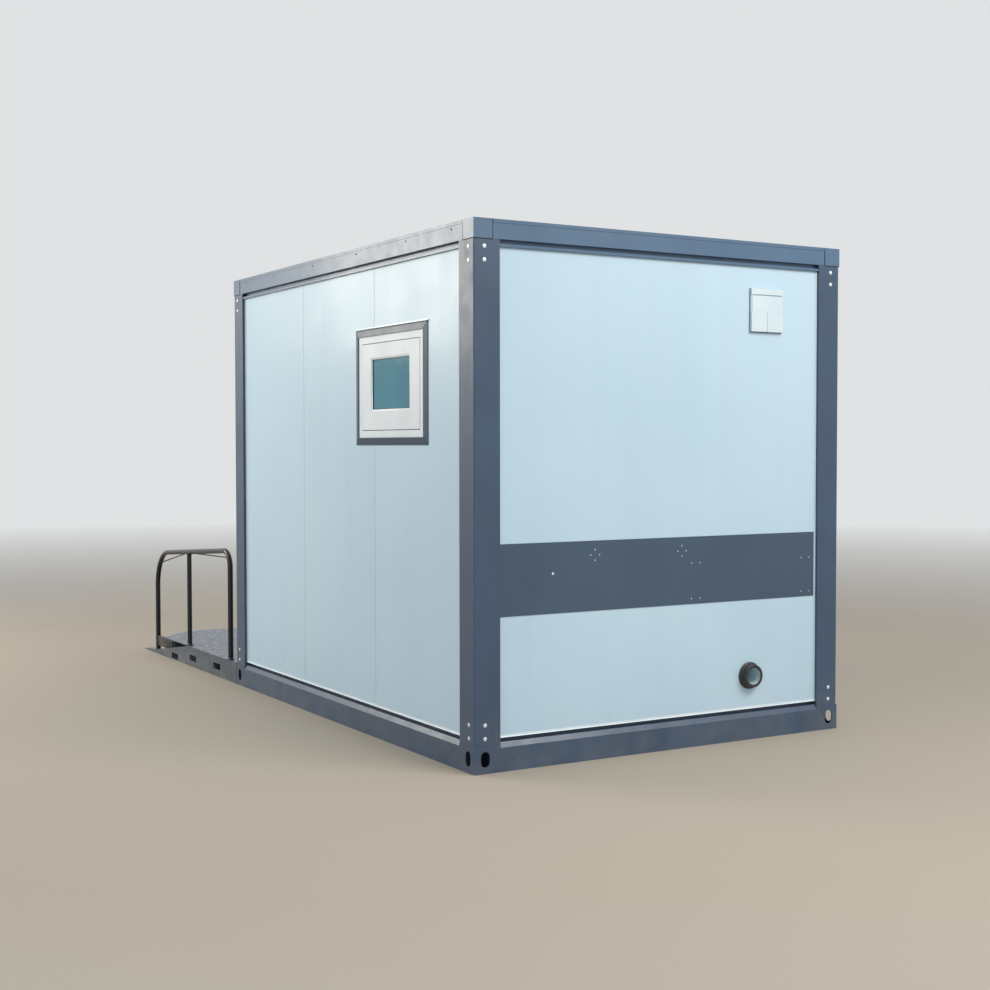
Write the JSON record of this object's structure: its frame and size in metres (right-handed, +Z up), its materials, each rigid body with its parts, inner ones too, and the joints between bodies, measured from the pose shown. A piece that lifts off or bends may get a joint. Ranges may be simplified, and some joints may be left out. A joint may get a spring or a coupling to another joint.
{
  "type": "portable toilet",
  "caption": "Portable toilet cabin: bolted steel frame with sandwich panel walls, window, wall vent, waste outlet, closed entrance door and a low access platform with handrails.",
  "frame": {"origin": "on the ground, under the middle of the whole object's bounding box", "axes": "+Z up; +Y along the length, from the entrance platform to the rear face with the waste outlet; +X to the side with the window"},
  "size_m": [2.45, 5.475, 2.8],
  "materials": {
    "frame_paint": "dark blue-grey semi-gloss paint on folded steel",
    "trim_paint": "dark blue-grey semi-gloss paint on window and door trim",
    "band_paint": "dark blue-grey paint on a flat plate",
    "wall_skin": "smooth pale coated steel skin with a soft sheen",
    "roof_skin": "pale coated steel roof skin, weathered",
    "floor": "sealed floor board with a grey vinyl face",
    "joist_steel": "dark primer on folded steel",
    "white_plastic": "white PVC with a light sheen",
    "glass": "tinted double glazing",
    "black_plastic": "black moulded plastic",
    "outlet_rubber": "black moulded rubber seal",
    "pipe_plastic": "grey soil pipe plastic",
    "deck_steel": "worn galvanised steel plate",
    "rail_paint": "black gloss paint on steel tube"
  },
  "bodies": {
    "root": {"base_corner_rear_right": "frame_paint", "base_corner_rear_left": "frame_paint", "base_corner_front_right": "frame_paint", "base_corner_front_left": "frame_paint", "base_rail_right": "frame_paint", "base_rail_left": "frame_paint", "base_rail_rear": "frame_paint", "base_rail_front": "frame_paint", "post_rear_right": "frame_paint", "post_rear_left": "frame_paint", "post_front_right": "frame_paint", "post_front_left": "frame_paint", "roof_corners": "frame_paint", "roof_rail_right": "frame_paint", "roof_rail_left": "frame_paint", "roof_rail_rear": "frame_paint", "roof_rail_front": "frame_paint", "roof_panel": "roof_skin", "floor_board": "floor", "floor_joists": "joist_steel", "right_wall_rear": "wall_skin", "right_wall_middle": "wall_skin", "right_wall_front": "wall_skin", "left_wall": "wall_skin", "rear_wall": "wall_skin", "rear_band": "band_paint", "front_wall_sides": "wall_skin", "front_wall_over_door": "wall_skin", "door_frame": "trim_paint", "door_leaf": "wall_skin", "door_handle": "black_plastic", "window_surround": "trim_paint", "window_frame": "white_plastic", "window_sash": "white_plastic", "window_glass": "glass", "vent_cover": "white_plastic", "outlet_collar": "outlet_rubber", "outlet_pipe": "pipe_plastic", "deck_panel": "deck_steel", "deck_strips": "deck_steel", "deck_beams": "joist_steel", "cheek_right": "frame_paint", "cheek_left": "frame_paint", "handrail_right": "rail_paint", "handrail_left": "rail_paint"}
  },
  "joints": []
}
